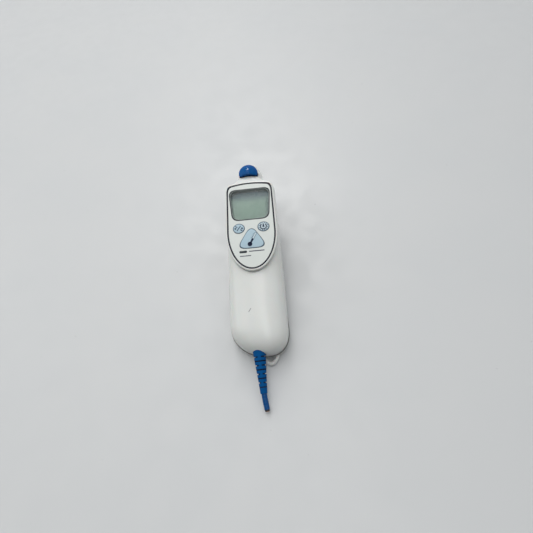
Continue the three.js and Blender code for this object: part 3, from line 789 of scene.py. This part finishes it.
def probe_nozzle(bm):
    """The tapered tip, open at its mouth, where the window sits."""
    outer = [(6.8, -26), (6.8, -42), (6.62, -44), (6.1, -48), (5.5, -52)]
    outer += [(5.0, -56), (4.6, -60), (4.3, -63.5)]
    tip = [(r, -z) for r, z in rounding(4.2, -PROBE_TIP_Z, 0.7)]
    mouth = [(2.9, PROBE_TIP_Z), (2.7, PROBE_TIP_Z + 0.2), (2.7, -60), (2.7, -26)]
    lathe(bm, outer + tip + mouth, loop=True)
    put_on_probe_axis(bm)


def probe_window(bm):
    lathe(bm, [(2.65, -64.8), (2.65, -64.2)], 48)
    put_on_probe_axis(bm)


# ---- cable -------------------------


def boot_radius(s):
    return mix(BOOT_ROOT_R + BOOT_SWELL, BOOT_END_R, smoothstep(-4, BOOT_LENGTH + 4, s))


def slot_depth(s, angle):
    """How deep the boot is cut: slots lie in turn at its sides, and at its front and back."""
    for i in range(SLOTS["count"]):
        start = BOOT_COLLAR + SLOTS["pitch"] * i
        if start < s < start + SLOTS["width"]:
            across = abs(math.cos(angle)) if i % 2 == 0 else abs(math.sin(angle))
            bridge = 0.3 if i % 2 == 0 else 0.12
            depth = min(SLOTS["depth"], boot_radius(s) - CABLE_R - 0.2)
            return depth * smoothstep(bridge - 0.06, bridge + 0.06, across)
    return 0


def cable_boot(bm):
    """The strain relief: a tapered tube with cross slots, so that it bends with the cable."""
    steps = 72
    stops = [-7.0, -3.0, 0.0, 2.5, 4.5]
    for i in range(SLOTS["count"]):
        start = BOOT_COLLAR + SLOTS["pitch"] * i
        end = start + SLOTS["width"]
        stops += [start - 0.25, start - 0.02, start + 0.02, end - 0.02, end + 0.02, end + 0.25]
    stops += [BOOT_LENGTH - 2, BOOT_LENGTH - 0.5, BOOT_LENGTH - 0.15, BOOT_LENGTH]
    rings = []
    for s in stops:
        shrink = 0.35 * smoothstep(BOOT_LENGTH - 0.6, BOOT_LENGTH, s)
        ring = []
        for j in range(steps):
            angle = 2 * math.pi * j / steps
            radius = boot_radius(s) - shrink - slot_depth(s, angle)
            ring.append((radius * math.cos(angle), radius * math.sin(angle), s))
        rings.append(ring)
    rings += [circle(CABLE_R + 0.05, s, steps) for s in (BOOT_LENGTH, stops[0])]
    loft(bm, rings, loop=True)
    # Faces deep in the slots take the second material, a painted shade darker than the rubber.
    for face in bm.faces:
        centre = face.calc_center_median()
        if math.hypot(centre.x, centre.y) < boot_radius(centre.z) - 0.25:
            face.material_index = 1
    turn_and_place(bm, boot_matrix())


def cable_place(s, r, angle):
    """A point of the cable, s from the boot's root; past the boot it swings a little to the right."""
    reach = CABLE_LENGTH - SWING_START
    swing = CABLE_SWING * max(0, (s - SWING_START) / reach) ** 2
    lean = 2 * CABLE_SWING * max(0, s - SWING_START) / reach**2
    x = r * math.cos(angle)
    return (x + swing, r * math.sin(angle), s - lean * x)


def cable_tube(bm, profile, steps=40, bands=None):
    rings = []
    for radius, s in profile:
        rings.append([cable_place(s, radius, 2 * math.pi * j / steps) for j in range(steps)])
    loft(bm, rings, bands)


def cable(bm):
    """The jacket, with the dark inner sheath bared at its cut end."""
    cut = CABLE_LENGTH - CABLE_BARED
    profile = [(CABLE_R, s) for s in (-20, 0, 20, 30, 33, 36, 39, 42, 45, cut - 0.15)]
    jacket_bands = len(profile)
    profile += [(CABLE_R - 0.15, cut), (SHEATH_R, cut), (SHEATH_R, CABLE_LENGTH - 0.15)]
    profile += [(SHEATH_R - 0.15, CABLE_LENGTH), (1.2, CABLE_LENGTH - 0.1)]
    sheath_bands = len(profile) - 1 - jacket_bands
    cable_tube(bm, profile, bands=[0] * jacket_bands + [1] * sheath_bands)
    turn_and_place(bm, boot_matrix())


def cable_core(bm):
    """Seven strands that stand out of the cut end."""
    end = CABLE_LENGTH
    for i in range(7):
        angle = 2 * math.pi * i / 6
        r = 0.0 if i == 6 else 0.95
        base = cable_place(end - 1, r, angle)
        tip = cable_place(end + 0.35, r, angle)
        tube(bm, [Vector(base), Vector(tip)], 0.42, 12)
    turn_and_place(bm, boot_matrix())


# ---- materials ---------------------


def handle_origin():
    """An empty in the handle's frame: textures measured from it are in the handle's millimetres."""
    empty = new_object("handle_origin", None)
    empty.matrix_world = HANDLE
    return empty


ORIGIN = handle_origin()


def new_node(tree, kind, inputs=None, **settings):
    """A shader node with its settings, and with values for its unlinked inputs."""
    made = tree.nodes.new(kind)
    for key, value in settings.items():
        setattr(made, key, value)
    for key, value in (inputs or {}).items():
        made.inputs[key].default_value = value
    return made


class Look:
    """One material's nodes. Texture places are in the handle's millimetres."""

    def __init__(self, name, color, roughness, metallic=0.0):
        self.material = bpy.data.materials.new(name)
        self.material.use_nodes = True
        self.tree = self.material.node_tree
        self.shader = self.tree.nodes["Principled BSDF"]
        self.out = self.tree.nodes["Material Output"]
        self.color = self.rgb(color)
        self.roughness = self.value(roughness)
        self.shader.inputs["Metallic"].default_value = metallic
        coordinates = self.node("ShaderNodeTexCoord")
        coordinates.object = ORIGIN
        self.place = coordinates.outputs["Object"]

    def node(self, kind, inputs=None, **settings):
        return new_node(self.tree, kind, inputs, **settings)

    def link(self, source, target):
        self.tree.links.new(source, target)

    def rgb(self, color):
        made = self.node("ShaderNodeRGB")
        made.outputs[0].default_value = (*color, 1)
        return made.outputs[0]

    def value(self, number):
        made = self.node("ShaderNodeValue")
        made.outputs[0].default_value = number
        return made.outputs[0]

    def stretched(self, scale):
        made = self.node("ShaderNodeMapping", {"Scale": scale})
        self.link(self.place, made.inputs["Vector"])
        return made.outputs["Vector"]

    def noise(self, scale, detail, stretch=(1, 1, 1)):
        made = self.node("ShaderNodeTexNoise", {"Scale": scale, "Detail": detail})
        self.link(self.stretched(stretch), made.inputs["Vector"])
        return made.outputs["Fac"]

    def between(self, value, low, high, to_low=0.0, to_high=1.0, smooth=True):
        """Maps value from low..high to to_low..to_high, and holds it at the ends."""
        kind = "SMOOTHSTEP" if smooth else "LINEAR"
        limits = {"From Min": low, "From Max": high, "To Min": to_low, "To Max": to_high}
        made = self.node("ShaderNodeMapRange", limits, interpolation_type=kind)
        self.link(value, made.inputs["Value"])
        return made.outputs["Result"]

    def math(self, operation, a, b):
        made = self.node("ShaderNodeMath", operation=operation)
        for slot, item in enumerate((a, b)):
            if isinstance(item, (int, float)):
                made.inputs[slot].default_value = item
            else:
                self.link(item, made.inputs[slot])
        return made.outputs[0]

    def tint(self, share, color):
        """Mixes another colour over the base colour."""
        made = self.node("ShaderNodeMix", data_type="RGBA")
        self.link(share, made.inputs["Factor"])
        self.link(self.color, made.inputs["A"])
        made.inputs["B"].default_value = (*color, 1)
        self.color = made.outputs["Result"]

    def mottle(self, scale, detail, low, high, share, color):
        """Patches of another colour, where a noise goes from low to high."""
        self.tint(self.between(self.noise(scale, detail), low, high, 0, share), color)

    def roughen(self, amount):
        self.roughness = self.math("ADD", self.roughness, amount)

    def smudge(self, scale, detail, amount, low=0.3, high=0.7):
        """Patches that are rougher by amount."""
        self.roughen(self.between(self.noise(scale, detail), low, high, 0, amount))

    def specular(self, level):
        self.shader.inputs["Specular IOR Level"].default_value = level

    def bump(self, height, distance):
        """Raises the surface by distance millimetres where height is 1."""
        made = self.node("ShaderNodeBump", {"Strength": 1, "Distance": distance * MM})
        self.link(height, made.inputs["Height"])
        normal = self.shader.inputs["Normal"]
        if normal.is_linked:
            self.link(normal.links[0].from_socket, made.inputs["Normal"])
        self.link(made.outputs["Normal"], normal)

    def dirt_and_painted_shade(self, color, reach, share):
        """Dirt and painted shade in creases less than reach millimetres deep, darkened by ambient
        occlusion.
        """
        made = self.node("ShaderNodeAmbientOcclusion", {"Distance": reach * MM}, samples=6)
        self.tint(self.between(made.outputs["AO"], 0.25, 0.85, share, 0), color)

    def scuff_and_painted_shadow(self, start, end, width, color):
        """A short dark mark between two places in the handle's frame."""
        start, end = Vector(start), Vector(end)
        along = end - start
        offset = self.node("ShaderNodeVectorMath", {1: start}, operation="SUBTRACT")
        self.link(self.place, offset.inputs[0])
        part = along / along.length_squared
        share = self.node("ShaderNodeVectorMath", {1: part}, operation="DOT_PRODUCT")
        self.link(offset.outputs[0], share.inputs[0])
        held = self.between(share.outputs["Value"], 0, 1, smooth=False)
        nearest = self.node("ShaderNodeVectorMath", {0: along}, operation="SCALE")
        self.link(held, nearest.inputs["Scale"])
        gap = self.node("ShaderNodeVectorMath", operation="DISTANCE")
        self.link(offset.outputs[0], gap.inputs[0])
        self.link(nearest.outputs[0], gap.inputs[1])
        self.tint(self.between(gap.outputs["Value"], 0.3 * width, width, 0.75, 0), color)

    def axis(self, name):
        made = self.node("ShaderNodeSeparateXYZ")
        self.link(self.place, made.inputs[0])
        return made.outputs[name]

    def edges(self):
        """High on convex edges, where wear shows first."""
        made = self.node("ShaderNodeNewGeometry")
        return self.between(made.outputs["Pointiness"], 0.52, 0.6)

    def done(self):
        self.link(self.color, self.shader.inputs["Base Color"])
        self.link(self.roughness, self.shader.inputs["Roughness"])
        return self.material


def white_plastic():
    """Glossy white, slightly worn: faint yellowing, fine lengthwise scratches and a scuffed mark;
    painted shadow under the platform's right edge, painted shade along the shells' seam, and painted
    shade with some dirt in creases.
    """
    look = Look("white_plastic", (0.70, 0.715, 0.69), 0.16)
    look.mottle(0.035, 3, 0.35, 0.7, 0.35, (0.66, 0.67, 0.64))
    look.mottle(0.9, 2, 0.74, 0.8, 0.3, (0.4, 0.39, 0.35))
    look.scuff_and_painted_shadow((-6.2, 33, CROWN_Z), (-4.4, 35.6, CROWN_Z), 0.45, (0.1, 0.1, 0.1))
    # Painted shadow: a dark streak where the platform's edge shades the right shoulder.
    look.scuff_and_painted_shadow((19, 85.4, -6), (19.9, 87.4, -6), 0.9, (0.05, 0.05, 0.05))
    # Painted shade in the gap between the shells: darker within half a millimetre of the parting plane.
    from_seam = look.math("ABSOLUTE", look.math("SUBTRACT", look.axis("Z"), PARTING_Z), 0)
    look.tint(look.between(from_seam, 0.25, 0.5, 0.85, 0), (0.09, 0.09, 0.085))
    # Painted shade, with some dirt, in creases and gaps.
    look.dirt_and_painted_shade((0.12, 0.12, 0.11), 2.0, 0.75)
    look.smudge(0.12, 5, 0.05)
    scratches = look.between(look.noise(2.0, 2, (3, 0.12, 3)), 0.66, 0.7)
    look.roughen(look.math("MULTIPLY", scratches, 0.1))
    look.bump(look.noise(1.5, 3), 0.002)
    look.bump(scratches, -0.002)
    look.specular(0.4)
    look.shader.inputs["Subsurface Weight"].default_value = 0.08
    look.shader.inputs["Subsurface Scale"].default_value = 1.2 * MM
    return look.done()


def panel_film():
    look = Look("panel_film", (0.655, 0.69, 0.655), 0.4)
    look.mottle(0.06, 3, 0.35, 0.7, 0.6, (0.62, 0.66, 0.64))
    # Painted shade, with some dirt, in creases round the keys and window.
    look.dirt_and_painted_shade((0.15, 0.15, 0.15), 0.8, 0.6)
    look.smudge(0.3, 4, 0.12)
    look.bump(look.noise(5, 2), 0.01)
    return look.done()


# Flat printed colours; the one for the window frame's inner edge is a painted reflection.
def printed(name, color, roughness=0.45):
    look = Look(name, color, roughness)
    look.mottle(0.5, 3, 0.4, 0.75, 0.35, tuple(0.7 * c + 0.03 for c in color))
    look.smudge(0.8, 3, 0.15)
    look.bump(look.noise(4, 2), 0.01)
    look.specular(0.15)
    return look.done()


def key_blue():
    look = Look("key_blue", (0.37, 0.51, 0.585), 0.38)
    look.mottle(0.1, 3, 0.35, 0.7, 0.6, (0.34, 0.49, 0.58))
    look.tint(look.edges(), (0.5, 0.6, 0.68))
    look.smudge(0.4, 4, 0.15)
    look.bump(look.noise(3, 3), 0.012)
    return look.done()


def eject_blue():
    look = Look("eject_blue", (0.001, 0.08, 0.27), 0.045)
    look.mottle(0.12, 3, 0.35, 0.7, 0.6, (0.004, 0.055, 0.24))
    # Painted shade on the button's skirt and in the gap round its foot.
    look.dirt_and_painted_shade((0, 0.008, 0.04), 4.0, 0.9)
    look.smudge(0.5, 5, 0.05, 0.45, 0.75)
    look.bump(look.noise(0.6, 2), 0.006)
    look.specular(0.1)
    return look.done()


def boot_rubber():
    look = Look("boot_rubber", (0, 0.076, 0.25), 0.5)
    look.mottle(0.3, 4, 0.4, 0.75, 0.6, (0.001, 0.08, 0.26))
    look.tint(look.edges(), (0.004, 0.1, 0.3))
    look.specular(0.08)
    look.smudge(0.8, 4, 0.2)
    look.bump(look.noise(4, 4), 0.03)
    return look.done()


def cable_jacket():
    look = Look("cable_jacket", (0.001, 0.06, 0.21), 0.2)
    look.specular(0.25)
    look.mottle(0.2, 4, 0.4, 0.75, 0.6, (0.001, 0.05, 0.18))
    look.smudge(0.6, 4, 0.15)
    look.bump(look.noise(1.2, 2), 0.02)
    return look.done()


def plain_plastic(name, color, roughness=0.5):
    look = Look(name, color, roughness)
    look.mottle(0.2, 4, 0.35, 0.7, 0.5, tuple(0.8 * c + 0.01 for c in color))
    look.tint(look.edges(), tuple(0.8 * c + 0.12 for c in color))
    look.smudge(0.8, 4, 0.2)
    look.bump(look.noise(3, 3), 0.02)
    return look.done()


def metal(name, color):
    """Bare metal, brushed across z."""
    look = Look(name, color, 0.28, metallic=1.0)
    brushed = look.noise(1.2, 4, (1, 1, 12))
    look.roughen(look.between(brushed, 0.3, 0.7, 0, 0.2))
    look.mottle(0.3, 4, 0.5, 0.8, 0.5, tuple(0.55 * c for c in color))
    look.bump(brushed, 0.01)
    return look.done()


def circuit_board():
    """Green solder mask over copper tracks, with a few pads."""
    look = Look("circuit_board", (0.015, 0.12, 0.05), 0.35)
    tracks = look.node("ShaderNodeTexBrick", {"Scale": 0.25, "Mortar Size": 0.06})
    look.link(look.place, tracks.inputs["Vector"])
    look.tint(tracks.outputs["Fac"], (0.03, 0.2, 0.08))
    pads = look.node("ShaderNodeTexVoronoi", {"Scale": 0.5})
    look.link(look.place, pads.inputs["Vector"])
    look.tint(look.between(pads.outputs["Distance"], 0.12, 0.16, 1, 0), (0.6, 0.55, 0.4))
    look.bump(tracks.outputs["Fac"], 0.03)
    look.smudge(1, 3, 0.15)
    return look.done()


def cell_jacket():
    """A plain dark sleeve with one copper-coloured band towards the head."""
    look = Look("cell_jacket", (0.03, 0.035, 0.045), 0.28)
    band = look.between(look.axis("Y"), 66, 66.3)
    look.tint(band, (0.5, 0.28, 0.12))
    look.tint(look.edges(), (0.4, 0.4, 0.4))
    look.smudge(0.5, 4, 0.15)
    look.bump(look.noise(1.5, 3), 0.02)
    return look.done()


def lcd_surface():
    """The grey-green display, switched off, shaded by the well round it."""
    look = Look("lcd_surface", (0.30, 0.405, 0.335), 0.22)
    look.mottle(0.07, 2, 0.3, 0.7, 0.5, (0.31, 0.39, 0.34))
    top = look.between(look.axis("Y"), 131.5, 139.5)
    right = look.between(look.axis("X"), 12.5, 15.5, 0, 0.6)
    left = look.between(look.axis("X"), -16.5, -14.5, 0.45, 0)
    shade = look.math("MAXIMUM", look.math("MAXIMUM", top, right), left)
    look.tint(shade, (0.075, 0.12, 0.148))
    look.smudge(0.4, 4, 0.1)
    look.bump(look.noise(4, 2), 0.004)
    return look.done()


def clear_window(name):
    """A clear sheet: see-through, with a mirror sheen that grows at grazing angles."""
    look = Look(name, (0.9, 0.93, 0.92), 0.06)
    look.smudge(0.5, 4, 0.08, 0.4, 0.7)
    look.bump(look.noise(0.4, 2), 0.01)
    clear = look.node("ShaderNodeBsdfTransparent", {"Color": (0.93, 0.96, 0.95, 1)})
    sheen = look.node("ShaderNodeFresnel")
    blend = look.node("ShaderNodeMixShader")
    look.link(look.math("MULTIPLY", sheen.outputs[0], 1.2), blend.inputs[0])
    look.link(clear.outputs[0], blend.inputs[1])
    look.link(look.shader.outputs[0], blend.inputs[2])
    look.link(blend.outputs[0], look.out.inputs["Surface"])
    return look.done()


def table_top():
    look = Look("table_top", (0.575, 0.585, 0.585), 0.42)
    look.mottle(0.012, 3, 0.3, 0.7, 0.5, (0.555, 0.57, 0.575))
    specks = look.between(look.noise(0.25, 2), 0.77, 0.8, 0, 0.5)
    look.tint(specks, (0.4, 0.4, 0.4))
    look.smudge(0.05, 4, 0.15)
    look.bump(look.noise(1.5, 3), 0.003)
    return look.done()


# ---- the object --------------------


def dress_handle(white, dark):
    show("front_shell", front_shell(), white, dark)
    show("rear_shell", rear_shell(), white)
    show("battery_door", battery_door(), white)


def dress_panel():
    film = panel_film()
    ring = printed("ring_print", (0.018, 0.018, 0.03), 0.35)
    slate = printed("slate_print", (0.1, 0.15, 0.2))
    navy = printed("navy_print", (0.004, 0.012, 0.045))
    pale = printed("pale_print", (0.52, 0.62, 0.67))
    grey = printed("grey_print", (0.09, 0.1, 0.13))
    frame_line = printed("frame_print", (0.025, 0.035, 0.04), 0.3)
    blue = key_blue()
    # A lighter grey for the window frame's inner edge: a painted reflection.
    bevel_reflection = printed("bevel_painted_reflection", (0.27, 0.3, 0.29), 0.2)
    show("keypad_overlay", solid(keypad_overlay), film, ring, grey, frame_line, bevel_reflection)
    show("scan_key", solid(scan_key), blue, slate, navy, pale)
    icon = printed("icon_print", (0.02, 0.04, 0.08))
    dial = printed("dial_print", (0.01, 0.025, 0.06))
    show("unit_key", solid(unit_key), blue, slate, icon, pale)
    show("timer_key", solid(timer_key), blue, slate, dial, pale)
    show("display_window", solid(display_window), clear_window("clear_window"))
    show("lcd_holder", solid(lcd_holder), plain_plastic("well", (0.11, 0.125, 0.13), 0.4))
    show("lcd_glass", solid(lcd_glass), lcd_surface())


def dress_probe(white, steel):
    press_spring(show("ejector_spring", solid(ejector_spring), steel))
    show("eject_button", solid(eject_button), eject_blue(), sharp=60)
    show("ejector_sleeve", solid(ejector_sleeve), white)
    show("probe_nozzle", solid(probe_nozzle), white)
    show("probe_window", solid(probe_window), clear_window("probe_glass"))


def dress_cable():
    # The slots' insides: painted shade in a near-black blue.
    boot_slot_painted_shade = plain_plastic("boot_slot_painted_shade", (0, 0.007, 0.04), 0.8)
    show("cable_boot", solid(cable_boot), boot_rubber(), boot_slot_painted_shade)
    show("cable", solid(cable), cable_jacket(), plain_plastic("inner_jacket", (0.02, 0.02, 0.025)))
    show("cable_core", solid(cable_core), metal("copper", (0.6, 0.3, 0.16)))


def dress_cad_nodes(steel):
    """Finishes for the hidden pieces, which keep their CAD shapes."""
    finishes = {
        "dark_plastic": plain_plastic("dark_plastic", (0.03, 0.033, 0.038)),
        "dark_rubber": plain_plastic("dark_rubber", (0.02, 0.02, 0.02), 0.7),
        "panel_film": plain_plastic("inner_white", (0.7, 0.71, 0.69)),
        "circuit_board": circuit_board(),
        "steel": steel,
        "gold_brass": metal("gold_brass", (0.72, 0.53, 0.2)),
        "cell_jacket": cell_jacket(),
    }
    for name, node in frame["nodes"].items():
        if not node.hide_render:
            node.data.materials.clear()
            node.data.materials.append(finishes[FINISH_SLOTS[name]])


# ---- stage, light and camera -------


FLOOR_HALF = 3.0
LAMP_WHITE = (1, 0.99, 0.975)
ROOM_COLOR = (0.95, 0.965, 0.985, 1)
ROOM_BRIGHT_TOWARD = (0.05, 0.75, 0.66)
ROOM_STRENGTH = {"dark": 0.03, "bright": 1.1, "camera": 0.6}
CAMERA = {"at": (35.7, -37.1, 316.7), "aim": (11.1, 69.3, 0), "up": (0.0642, 1, 0), "lens": 27.02}


def floor():
    mesh = bpy.data.meshes.new("floor")
    half = FLOOR_HALF
    corners = [(-half, -half, 0), (half, -half, 0), (half, half, 0), (-half, half, 0)]
    mesh.from_pydata(corners, [], [(0, 1, 2, 3)])
    mesh.materials.append(table_top())
    new_object("floor", mesh)


def area_light(name, at, target, size, energy, glint=False):
    """A soft lamp. A glint shows only as a reflection and lights nothing."""
    data = bpy.data.lights.new(name, "AREA")
    data.shape = "RECTANGLE"
    data.size, data.size_y = size
    data.energy = energy
    data.color = LAMP_WHITE
    lamp = new_object(name, data)
    lamp.location = at
    lamp.rotation_mode = "QUATERNION"
    lamp.rotation_quaternion = (Vector(target) - Vector(at)).to_track_quat("-Z", "Y")
    lamp.visible_diffuse = not glint


def room():
    """A grey room, bright above and beyond the head and darker on the near side.

    The camera itself sees a plain pale backdrop.
    """
    world = bpy.data.worlds.new("room")
    world.use_nodes = True
    tree = world.node_tree
    coordinates = tree.nodes.new("ShaderNodeTexCoord")
    bright = Vector(ROOM_BRIGHT_TOWARD).normalized()
    toward = new_node(tree, "ShaderNodeVectorMath", {1: bright}, operation="DOT_PRODUCT")
    strengths = {"To Min": ROOM_STRENGTH["dark"], "To Max": ROOM_STRENGTH["bright"]}
    shade = new_node(tree, "ShaderNodeMapRange", {"From Min": -0.3, "From Max": 1.0, **strengths})
    background = tree.nodes["Background"]
    background.inputs["Color"].default_value = ROOM_COLOR
    seen = tree.nodes.new("ShaderNodeLightPath")
    strength = new_node(tree, "ShaderNodeMix", {"B": ROOM_STRENGTH["camera"]})
    tree.links.new(coordinates.outputs["Generated"], toward.inputs[0])
    tree.links.new(toward.outputs["Value"], shade.inputs["Value"])
    tree.links.new(seen.outputs["Is Camera Ray"], strength.inputs["Factor"])
    tree.links.new(shade.outputs["Result"], strength.inputs["A"])
    tree.links.new(strength.outputs["Result"], background.inputs["Strength"])
    bpy.context.scene.world = world


def lights():
    """Two soft ceiling panels with a gap between them, a far window, and a lamp's glint."""
    middle = (0, 0.02, 0.03)
    area_light("ceiling_left", (-0.95, 0.25, 1.15), middle, (1.1, 1.8), 5.6)
    area_light("ceiling_middle", (-0.06, 0.2, 1.2), middle, (0.3, 1.8), 4.2)
    area_light("far_window", (-0.15, 1.3, 0.95), middle, (0.3, 0.16), 1.2)
    area_light("lamp", (-0.096, 1.074, 1.45), (0, 0.09, 0.07), (0.22, 0.3), 9.0, glint=True)
    room()


def camera():
    """The photograph's camera, placed by its position in the handle's frame."""
    at = HANDLE @ Vector(CAMERA["at"])
    aim = HANDLE @ Vector(CAMERA["aim"])
    turn = HANDLE.to_3x3().normalized()
    picture_up = turn @ Vector(CAMERA["up"])
    ahead = (aim - at).normalized()
    right = ahead.cross(picture_up).normalized()
    data = bpy.data.cameras.new("camera")
    data.lens = CAMERA["lens"]
    data.sensor_width = 36
    data.clip_start = 0.01
    made = new_object("camera", data)
    axes = Matrix((right, right.cross(ahead), -ahead)).transposed()
    made.matrix_world = Matrix.Translation(at) @ axes.to_4x4()
    bpy.context.scene.camera = made


def main():
    white = white_plastic()
    dark = plain_plastic("dark_edge", (0.07, 0.075, 0.08))
    steel = metal("steel", (0.55, 0.56, 0.58))
    dress_handle(white, dark)
    dress_panel()
    dress_probe(white, steel)
    dress_cable()
    dress_cad_nodes(steel)
    floor()
    lights()
    camera()
    bpy.context.scene.view_settings.view_transform = "Standard"


main()
